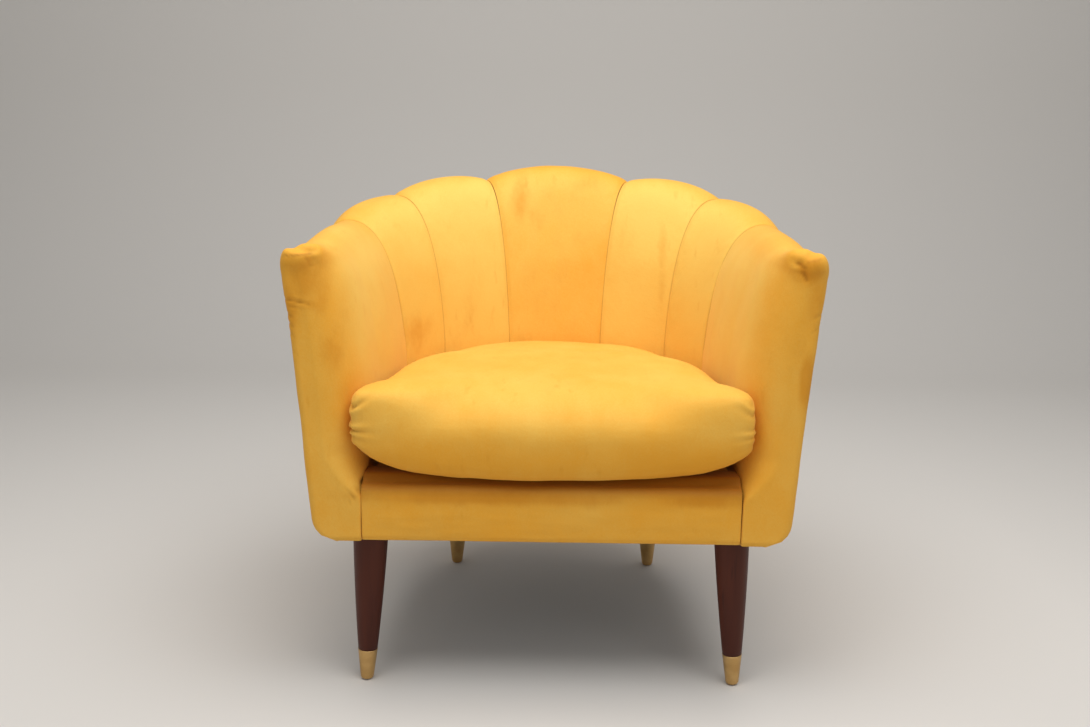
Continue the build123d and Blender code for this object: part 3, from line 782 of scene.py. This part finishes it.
def makeArm(side):
    look = armLook
    grid, outer, frontSection = armGrid(side)
    roll = rollGrid(side, grid[-1], outer, frontSection)
    run = armSeam + (look["lastRun"] - armSeam) * armShares()
    run = np.concatenate([run, np.full(len(grid) - len(run), look["lastRun"])])
    rollRun = run[: len(roll)][::-1]
    parts = []
    for body, runHere in ((grid, run), (roll, rollRun)):
        normal = gridNormals(body)
        if (normal * (body - np.array((side * 0.33, -0.15, 0.45)))).sum() < 0:
            normal = -normal
        fromSeam = (runHere - armSeam)[:, None] * np.ones(body.shape[1])[None, :]
        share = np.clip(fromSeam / look["swellLength"], 0, 1)
        swell = 1 - abs(2 * share - 1) ** 2.3
        swell = np.where(share > 0.5, np.maximum(swell, 0.35), swell)
        points = body.reshape(-1, 3)
        shift = look["puff"] * swell * (1 - 0.6 * smoothStep((body[..., 2] - 0.60) / 0.08))
        shift = shift - channelLook["groove"] * gauss(fromSeam, channelLook["grooveWidth"])
        shift = shift - channelLook["tuckIn"] * (fromSeam < 1e-6)
        shift = shift + wobble(body, 0.12, 3) * 0.0020
        shift = shift + wobble(body, 0.035, 4) * 0.0005
        front = onFront(points)
        for start, end, depth, width in folds[side]:
            distance, share = segmentDistance(points[:, [0, 2]], start, end)
            taper = (0.35 + 0.65 * np.sin(pi * np.clip(share, 0.02, 0.98))) * front
            shift = shift - (depth * gauss(distance, width) * taper).reshape(shift.shape)
            shift = shift + (0.35 * depth * gauss(distance, width * 2.6) * taper).reshape(shift.shape)
        for centre, radius, height in lumps[side]:
            distance = np.linalg.norm(points - np.array(centre), axis=1)
            shift = shift + (height * gauss(distance, radius)).reshape(shift.shape)
        parts.append(body + normal * shift[..., None])
    parts[1][0] = parts[0][-1][-parts[1].shape[1]:]
    crest = (parts[0][: look["insideColumns"], -1] + parts[1][::-1, -1]) / 2
    parts[0][: look["insideColumns"], -1] = crest
    parts[1][::-1, -1] = crest
    vertices = np.concatenate([p.reshape(-1, 3) for p in parts])
    faces = gridFaces(*parts[0].shape[:2])
    faces += gridFaces(*parts[1].shape[:2], start=parts[0].shape[0] * parts[0].shape[1])
    piece = meshFrom(f"arm_{sideNames[side]}", vertices, faces, velvet)
    weld(piece)
    points = pointsOf(piece)
    x0, y0 = planPoint(armSeam, side)
    heading = sectionAt(armSeam)["heading"]
    fromSeam = np.abs((points[:, 0] - x0) * -side * cos(heading) + (points[:, 1] - y0) * sin(heading))
    # Painted shade along the seam and in the fold creases
    painted_shade = channelLook["seamPaintedShade"] * gauss(fromSeam, armLook["seamShadeWidth"])
    front = onFront(points)
    for start, end, depth, width in folds[side]:
        distance, _ = segmentDistance(points[:, [0, 2]], start, end)
        painted_shade = np.maximum(painted_shade, min(depth / 0.008, 0.8) * gauss(distance, width * 0.5) * front)
    # Painted light: the inside of the arm above the cushion is painted lighter than the front, fading near
    # the top and towards the top roll
    inside = smoothStep((points[:, 1] - frontY - 0.015) / 0.08) * smoothStep((points[:, 2] - 0.36) / 0.06)
    inside = inside * (1 - 0.7 * smoothStep((points[:, 2] - 0.630) / 0.05))
    behind = np.maximum(points[:, 1] - cornerY, 0)
    n = np.hypot(abs(points[:, 0]) - cornerX, behind) - tub["cornerRadius"]
    n = n - np.maximum(cornerY - points[:, 1], 0) * sin(slope)
    ridge = np.interp(points[:, 1], (frontY, 0.06), (sections["ridgeN"][-1], sections["ridgeN"][3]))
    inside = inside * (1 - smoothStep((n - ridge + 0.020) / 0.040))
    dress(piece, painted_shade, look["frontPaintedShade"] + (look["insidePaintedLight"] - look["frontPaintedShade"]) * inside)
    thicken(piece, 0.003)
    word = sideNames[side]
    place(piece, "chair", "velvet", f"channel_arm_{word}", f"arm_facing_{word}")


for side in sideNames:
    makeArm(side)
print("arms")


# n and z down the outside, from under the lip round the bottom edge
def coverLine(section):
    top = lipZ(section)
    low = seatBottom + tub["bottomRound"]
    z = np.linspace(top, low, coverLook["rows"] - coverLook["bendRows"])
    n = outerFace(section, z)
    angle = np.linspace(0, pi / 2, coverLook["bendRows"] + 1)[1:]
    bendN = tub["wall"] - tub["bottomRound"] * (1 - np.cos(angle))
    bendZ = low - tub["bottomRound"] * np.sin(angle)
    return np.concatenate([np.stack([n, z], axis=1), np.stack([bendN, bendZ], axis=1)])


def makeCover(name, start, finish, columns, node, seamAt):
    grid, places = [], np.linspace(start, finish, columns)
    for run in places:
        grid.append([wallPoint(run, n, z) for n, z in coverLine(sectionAt(abs(run)))])
    grid = np.array(grid)
    normal = gridNormals(grid)
    outward = grid - np.array((0, -0.05, 0.45))
    if (normal * outward).sum() < 0:
        normal = -normal
    down = np.linspace(0, 1, grid.shape[1])[None, :]
    below = down * coverLook["height"]
    edge = np.min([abs(places - at) for at in seamAt], axis=0)[:, None]
    shift = coverLook["bulge"] * np.sin(pi * np.clip(down * 1.15, 0, 1)) * smoothStep(edge / 0.05)
    shift = shift + wobble(grid, 0.16, 5) * 0.0022
    shift = shift - coverLook["groove"] * gauss(edge, coverLook["grooveWidth"])
    shift = shift - 0.003 * gauss(below, 0.005)
    pull = wobble(grid * np.array((1, 1, 0.5)), 0.012, 6)
    shift = shift + pull * 0.0005 * gauss(below, 0.03)
    grid = grid + normal * shift[..., None]
    piece = meshFrom(name, grid.reshape(-1, 3), gridFaces(*grid.shape[:2]), velvet)
    weld(piece, 1e-6)
    # Painted shade along the seams and in a thin line under the lip of the top roll
    painted_shade = np.maximum(gauss(edge, coverLook["seamShadeWidth"]) + 0 * down, gauss(below, 0.0015) + 0 * edge)
    dress(piece, painted_shade.ravel(), coverLook["painted_light"])
    thicken(piece, 0.003)
    place(piece, "chair", "velvet", node)


armLength = cornerY + tub["cornerRadius"] * sin(slope) - frontY - armLook["outerRound"]
frontEdgeRun = armRun + armLength / cos(slope)
ends = (-armSeam, armSeam)
makeCover("outside_back_cover", *ends, coverLook["columns"], "outside_back", ends)
for side, word in sideNames.items():
    ends = (side * armSeam, side * frontEdgeRun)
    makeCover(f"outside_arm_cover_{word}", *ends, coverLook["armColumns"], f"outside_arm_{word}", ends)
print("outside covers")


borderLook = {
    "columns": 220,
    "roll": 0.013,
    "depth": 0.050,
    # Strength of the painted shade along the end seams
    "seamPaintedShade": 0.30,
    "groove": 0.0009,
    "grooveWidth": 0.0024,
    # Painted shade: the cushion's shadow at the top of the border and lower down its front, and a darker
    # tone over the whole border
    "shade": 0.90,
    "lowShade": 0.35,
    "painted_light": -0.14,
}


def makeBorder():
    look = borderLook
    top = borderHigh.z
    z = np.linspace(seatBottom, top - look["roll"], 34)
    angle = np.linspace(0, pi / 2, 12)[1:]
    line = [(0.0, h) for h in z]
    line += [(look["roll"] * (1 - cos(a)), top - look["roll"] * (1 - sin(a))) for a in angle]
    rise = deckHigh.z + 0.0006 - top
    back = np.linspace(0, look["depth"], 24)[1:]
    line += [(look["roll"] + d, top + rise * smoothStep(d / 0.0205)) for d in back]
    line = np.array(line)
    x = borderHalf * np.sin(np.linspace(-pi / 2, pi / 2, look["columns"]))
    grid = np.array([[(at, frontY + y, h) for y, h in line] for at in x])
    normal = gridNormals(grid)
    if normal[look["columns"] // 2, 10][1] > 0:
        normal = -normal
    points = grid.reshape(-1, 3)
    edge = (borderHalf - abs(x))[:, None]
    shift = wobble(grid * np.array((0.6, 1, 1)), 0.06, 7) * 0.0016
    shift = shift + wobble(grid * np.array((0.35, 1, 1.6)), 0.016, 8) * 0.0005
    shift = shift + 0.0035 * np.sin(pi * np.clip((grid[..., 2] - seatBottom) / (top - seatBottom), 0, 1))
    shift = shift * smoothStep(edge / 0.05) * smoothStep((frontY + 0.022 - grid[..., 1]) / 0.008)
    shift = shift - look["groove"] * gauss(edge, look["grooveWidth"])
    shift = shift - 0.004 * gauss(grid[..., 2] - seatBottom, 0.004)
    grid = grid + normal * shift[..., None]
    piece = meshFrom("front_border_cover", grid.reshape(-1, 3), gridFaces(*grid.shape[:2]), velvet)
    weld(piece, 1e-6)
    # Painted shade: along the seams at the ends, and the cushion's shadow darkening the top of the border,
    # the shelf behind it and the upper front
    painted_shade = look["seamPaintedShade"] * gauss(edge, look["groove"]).repeat(grid.shape[1], axis=1).ravel()
    shade = look["shade"] * smoothStep((points[:, 2] - top + 0.017) / 0.016)
    shade = shade + look["lowShade"] * smoothStep((points[:, 2] - top + 0.04) / 0.03)
    dress(piece, np.maximum(painted_shade, shade), look["painted_light"])
    thicken(piece, 0.003)
    place(piece, "chair", "velvet", "front_border")


# Top of the seat under the cushion
def makeDeck():
    node = frame["nodes"]["deck_pad"]
    piece = node.copy()
    piece.data = node.data.copy()
    piece.name = "deck_cover"
    scene.collection.objects.link(piece)
    # Painted shade: the deck under the cushion is darkened all over
    dress(piece, np.full(len(piece.data.vertices), 0.6), -0.4)
    place(piece, "chair", "velvet", "deck_pad")


makeBorder()
makeDeck()
print("border and deck")


cushionLook = {
    "halfNose": 0.299,
    "room": 0.007,
    "widest": 0.407,
    "crest": 0.1325,
    "outline": 300,
    "rows": 44,
    "voxel": 0.006,
    "frames": 20,
    "cap": 0.003,
    "pleat": 0.0030,
    "pleatFrom": 0.388,
    "pleatTo": 0.458,
    "pleatStrength": {-1: 1.0, 1: 0.5},
}


# Right half of the plan, from the middle of the back round to the middle of the nose
def cushionOutline():
    look = cushionLook
    points = []
    room = -look["room"]
    for run in np.linspace(0, armRun + 0.235, 60):
        x, y = planPoint(run)
        section = sectionAt(run)
        points.append((x + room * sin(section["heading"]), y + room * cos(section["heading"])))
    x, y = points[-1]
    nose, front = look["halfNose"], cushionLow.y
    tip = frontY - 0.0135
    bendStart, bendEnd = (nose, frontY + 0.010), (nose - 0.03, tip)
    flare = bezier([(x, y), (x + 0.002, y - 0.04), (nose, frontY + 0.044), bendStart], 18)
    bend = bezier([bendStart, (nose, tip + 0.004), (nose - 0.008, tip), bendEnd], 12)
    sweep = bezier([bendEnd, (nose - 0.12, tip - 0.004), (0.10, front), (0, front)], 24)
    for curve in (flare, bend, sweep):
        points += [tuple(p) for p in curve[1:]]
    return np.array(points)


def makeCushion():
    look = cushionLook
    half = cushionOutline()
    loop = np.concatenate([half, (half * np.array((-1, 1)))[-2:0:-1]])
    closed = np.vstack([loop, loop[:1]])
    step = np.linalg.norm(np.diff(closed, axis=0), axis=1)
    travel = np.concatenate([[0], np.cumsum(step)])
    even = np.linspace(0, travel[-1], look["outline"], endpoint=False)
    loop = np.stack([np.interp(even, travel, closed[:, k]) for k in (0, 1)], axis=1)
    centre = np.array((0, (loop[:, 1].min() + loop[:, 1].max()) / 2))
    forward = smoothStep((centre[1] - 0.10 - loop[:, 1]) / (centre[1] - 0.10 - loop[:, 1].min()))
    across = abs(loop[:, 0]) / look["halfNose"]
    backward = smoothStep((loop[:, 1] + 0.23) / 0.30)
    outward = smoothStep((across - 0.50) / 0.40)
    end = smoothStep((across - 0.55) / 0.45) ** 2 * smoothStep((-0.27 - loop[:, 1]) / 0.06)
    widest = look["widest"] + 0.013 * end
    upperPower = 2.2 + (1 - backward) * (3.7 + 18 * outward) + 45 * end
    crest = cushionLow.z + look["crest"] + 0.004 * end - 0.002 * forward
    crest = crest - backward * (0.004 + 0.013 * outward)
    lip = cushionLow.z + 0.0015 - 0.0080 * forward + 0.050 * forward * across ** 4
    lowerPower = 9 + 17 * forward + 30 * end
    t = np.linspace(0, 1, look["rows"]) ** 2.6
    rings = []
    for share in t[::-1]:
        base = lip + (cushionLow.z + 0.0015 - lip) * smoothStep(share * 4)
        fall = np.sqrt(1 - (1 - share) ** lowerPower)
        ring = loop + (centre - loop) * share
        rings.append(np.column_stack([ring, widest + (base - widest) * fall]))
    for share in t[1:]:
        rise = np.sqrt(1 - (1 - share) ** upperPower)
        ring = loop + (centre - loop) * share
        peak = crest + (cushionHigh.z - 0.0015 - crest) * smoothStep(share * 1.6)
        rings.append(np.column_stack([ring, widest + (peak - widest) * rise]))
    grid = np.array(rings)
    faces = gridFaces(*grid.shape[:2], closeColumns=True)
    piece = meshFrom("seat_cushion_cover", grid.reshape(-1, 3), faces, velvet)
    weld(piece, 0.0008)
    inflate(piece)
    finishCushion(piece)


# Cloth pressure rounds the cushion; no point moves farther than the cap
def inflate(piece):
    look = cushionLook
    bpy.context.view_layer.objects.active = piece
    piece.select_set(True)
    remesh = piece.modifiers.new("even", "REMESH")
    remesh.mode = "VOXEL"
    remesh.voxel_size = look["voxel"]
    bpy.ops.object.modifier_apply(modifier="even")
    before = pointsOf(piece)
    cloth = piece.modifiers.new("swell", "CLOTH")
    cloth.settings.quality = 5
    cloth.settings.mass = 0.3
    cloth.settings.tension_stiffness = 15
    cloth.settings.compression_stiffness = 15
    cloth.settings.bending_stiffness = 0.5
    cloth.settings.use_pressure = True
    cloth.settings.uniform_pressure_force = 4
    cloth.settings.effector_weights.gravity = 0
    for number in range(1, look["frames"] + 1):
        scene.frame_set(number)
    bpy.ops.object.modifier_apply(modifier="swell")
    scene.frame_set(1)
    move = pointsOf(piece) - before
    length = np.linalg.norm(move, axis=1, keepdims=True)
    move = move * np.minimum(1, look["cap"] / np.maximum(length, 1e-9))
    piece.data.vertices.foreach_set("co", (before + move).ravel())
    piece.data.update()


# Subdivides the cushion, sets it between the arms and gathers the ends of the nose
def finishCushion(piece):
    look = cushionLook
    mesh = bmesh.new()
    mesh.from_mesh(piece.data)
    axes = {"use_axis_x": True, "use_axis_y": True, "use_axis_z": True}
    bmesh.ops.smooth_vert(mesh, verts=mesh.verts, factor=0.5, **axes)
    bmesh.ops.recalc_face_normals(mesh, faces=mesh.faces)
    mesh.to_mesh(piece.data)
    mesh.free()
    bpy.context.view_layer.objects.active = piece
    finer = piece.modifiers.new("finer", "SUBSURF")
    finer.levels = finer.render_levels = 1
    bpy.ops.object.modifier_apply(modifier="finer")
    piece.data.polygons.foreach_set("use_smooth", [True] * len(piece.data.polygons))
    points = pointsOf(piece)
    count = len(points)
    normal = np.zeros(count * 3)
    piece.data.vertex_normals.foreach_get("vector", normal)
    normal = normal.reshape(-1, 3)
    shift = wobble(points, 0.10, 9) * 0.0022 + wobble(points, 0.03, 10) * 0.0005
    painted_shade = np.zeros(count)
    for side in sideNames:
        low, high = look["pleatFrom"], look["pleatTo"]
        start, end = [(side * look["halfNose"], frontY - 0.004, z) for z in (low, high)]
        away, _ = segmentDistance(points, start, end)
        level = (points[:, 2] - (low + high) / 2) / (0.0120 + 0.32 * away)
        wave = np.sin(tau * level + 1.3 * np.sin(1.9 * level + 1.0) + side)
        wave = wave * (0.62 + 0.38 * np.sin(3.1 * level + 2.0))
        reach = gauss(np.maximum(away - 0.004, 0), 0.024) * look["pleatStrength"][side]
        shift = shift + look["pleat"] * wave * reach
        # Painted shade in the valleys of the pleats
        painted_shade = np.maximum(painted_shade, 0.40 * np.clip(-wave, 0, 1) * reach)
    points = points + normal * shift[:, None]
    floor = np.where(points[:, 1] > frontY + 0.026, cushionLow.z + 0.0009, cushionLow.z - 0.006)
    points[:, 2] = np.maximum(points[:, 2], floor)
    opening = np.maximum(cornerOpening(points[:, 2]), 0.05)
    depth = np.clip(1 - (points[:, 1] - frontY) / (armLook["innerDepth"] * opening), 0, 1)
    bend = armLook["innerRound"] * opening * (1 - np.sqrt(1 - depth**2))
    straight = cornerX + tub["cornerRadius"] + np.maximum(cornerY - points[:, 1], 0) * sin(slope)
    limit = straight + bend - 0.0025
    over = (points[:, 1] > frontY + 0.010) & (points[:, 1] < cornerY) & (abs(points[:, 0]) > limit)
    points[over, 0] = np.sign(points[over, 0]) * limit[over]
    piece.data.vertices.foreach_set("co", points.ravel())
    piece.data.update()
    # Painted shade: the cushion's tone darkens towards its bottom
    dress(piece, painted_shade, 0.08 - 0.34 * smoothStep((0.435 - points[:, 2]) / 0.07))
    place(piece, "seat_cushion", "velvet", "cushion_cover", "cushion_filling")


makeCushion()
print("cushion")


legLook = {
    "segments": 72,
    "topRadius": 0.027,
    "footRadius": 0.015,
    "swell": 0.0012,
    "ferruleHeight": 0.052,
    "ferruleFoot": 0.0095,
    "ferruleEdge": 0.0024,
    "glide": 0.0018,
    "front": (0.2755, 0.050, 0.011, 0.0),
    "rear": (0.178, 0.514, 0.006, 0.027),
}


# Spins a profile of (radius, distance down) about the line from top to foot
def turnedPiece(name, profile, top, foot, look):
    axis = foot - top
    turn = axis.to_track_quat("Z", "Y").to_matrix()
    mesh = bmesh.new()
    rings = []
    for radius, below in profile:
        ring = []
        for k in range(legLook["segments"]):
            angle = tau * k / legLook["segments"]
            point = Vector((radius * cos(angle), radius * sin(angle), below))
            ring.append(mesh.verts.new(top + turn @ point))
        rings.append(ring)
    for a, b in zip(rings, rings[1:]):
        for k in range(legLook["segments"]):
            j = (k + 1) % legLook["segments"]
            mesh.faces.new((a[k], a[j], b[j], b[k]))
    mesh.faces.new(rings[0][::-1])
    mesh.faces.new(rings[-1])
    bmesh.ops.recalc_face_normals(mesh, faces=mesh.faces)
    data = bpy.data.meshes.new(name)
    mesh.to_mesh(data)
    mesh.free()
    piece = bpy.data.objects.new(name, data)
    scene.collection.objects.link(piece)
    data.materials.append(look)
    data.polygons.foreach_set("use_smooth", [len(p.vertices) == 4 for p in data.polygons])
    return piece


def makeLegs():
    look = legLook
    legs, caps = {"front": [], "rear": []}, []
    for kind in ("front", "rear"):
        x, inset, splay, rake = look[kind]
        for side, word in sideNames.items():
            top = Vector((side * x, frontY + inset, seatBottom))
            foot = Vector((side * (x + splay), frontY + inset + rake, 0))
            length = (foot - top).length
            wood = length - look["ferruleHeight"]
            profile = []
            for t in np.linspace(0, 1, 24):
                radius = look["topRadius"] + (look["footRadius"] - look["topRadius"]) * t
                profile.append((radius + look["swell"] * 4 * t * (1 - t), wood * t))
            profile.append((look["footRadius"] - 0.0006, wood + 0.0004))
            legs[kind].append(turnedPiece(f"leg_{kind}_{word}", profile, top, foot, walnut))
            tip = length - look["glide"]
            cone = (look["footRadius"] - look["ferruleFoot"]) / (tip - wood)
            wide = look["footRadius"] + 0.0004
            rim = [(wide - 0.0012, wood + 0.0002), (wide - 0.0003, wood + 0.0002), (wide, wood + 0.0009)]
            for t in np.linspace(0.05, 0.94, 8):
                rim.append((wide - cone * (tip - wood) * t, wood + (tip - wood) * t))
            edge = look["ferruleEdge"]
            for a in np.linspace(0, pi / 2, 7)[1:]:
                radius = look["ferruleFoot"] - edge * (1 - cos(a)) + 0.0003
                rim.append((radius, tip - edge + edge * sin(a)))
            rim.append((0.0051, tip))
            caps.append(turnedPiece(f"ferrule_{kind}_{word}", rim, top, foot, brass))
    for kind, made in legs.items():
        for piece in made:
            place(piece, "chair", "leg_wood", f"legs_{kind}")
    for piece in caps:
        place(piece, "chair", "brass", "ferrules")


makeLegs()
print("legs")


# Floor that curves up into a backdrop
def makeStage():
    look = {"half": 5.0, "front": -4.0, "back": 2.6, "curve": 0.9, "height": 4.5}
    line = [(look["front"], 0.0), (look["back"] - look["curve"], 0.0)]
    for a in np.linspace(0, pi / 2, 16)[1:]:
        line.append((look["back"] - look["curve"] * (1 - sin(a)), look["curve"] * (1 - cos(a))))
    line.append((look["back"], look["height"]))
    vertices = [(x, y, z) for y, z in line for x in (-look["half"], look["half"])]
    paint, shader, _ = material("stage", Roughness=0.9, Specular_IOR_Level=0.1)
    shader.inputs["Base Color"].default_value = (0.70, 0.68, 0.65, 1)
    floor = meshFrom("stage", vertices, gridFaces(len(line), 2), paint)


def makeLight(name, location, target, size, power):
    data = bpy.data.lights.new(name, "AREA")
    data.shape = "RECTANGLE"
    data.size, data.size_y = size
    data.energy = power
    data.color = (1.0, 0.98, 0.96)
    lamp = bpy.data.objects.new(name, data)
    lamp.location = location
    lamp.rotation_euler = (Vector(target) - Vector(location)).to_track_quat("-Z", "Y").to_euler()
    scene.collection.objects.link(lamp)


def makeLights():
    makeLight("overhead", (0.1, -0.5, 2.6), (0, 0, 0.4), (2.6, 2.2), 68)
    makeLight("key", (1.3, -2.3, 1.9), (0, 0, 0.5), (1.6, 1.6), 9)
    makeLight("fill", (-1.9, -1.9, 1.4), (0, 0, 0.5), (1.8, 1.6), 5)
    world = bpy.data.worlds.new("room")
    scene.world = world
    world.use_nodes = True
    world.node_tree.nodes["Background"].inputs["Color"].default_value = (1.0, 1.0, 1.0, 1)
    world.node_tree.nodes["Background"].inputs["Strength"].default_value = 0.22


def makeCamera():
    look = {"place": (0.010, -2.167, 0.95), "lens": 42.97, "pitch": radians(13.15), "roll": radians(0.6)}
    yaw = Matrix.Rotation(0.0117, 4, "Z")
    data = bpy.data.cameras.new("camera")
    data.lens = look["lens"]
    data.sensor_width = 36
    camera = bpy.data.objects.new("camera", data)
    turn = yaw @ Matrix.Rotation(pi / 2 - look["pitch"], 4, "X") @ Matrix.Rotation(look["roll"], 4, "Z")
    camera.matrix_world = Matrix.Translation(look["place"]) @ turn
    scene.collection.objects.link(camera)
    scene.camera = camera


makeStage()
makeLights()
makeCamera()
scene.view_settings.view_transform = "Standard"
print("stage")
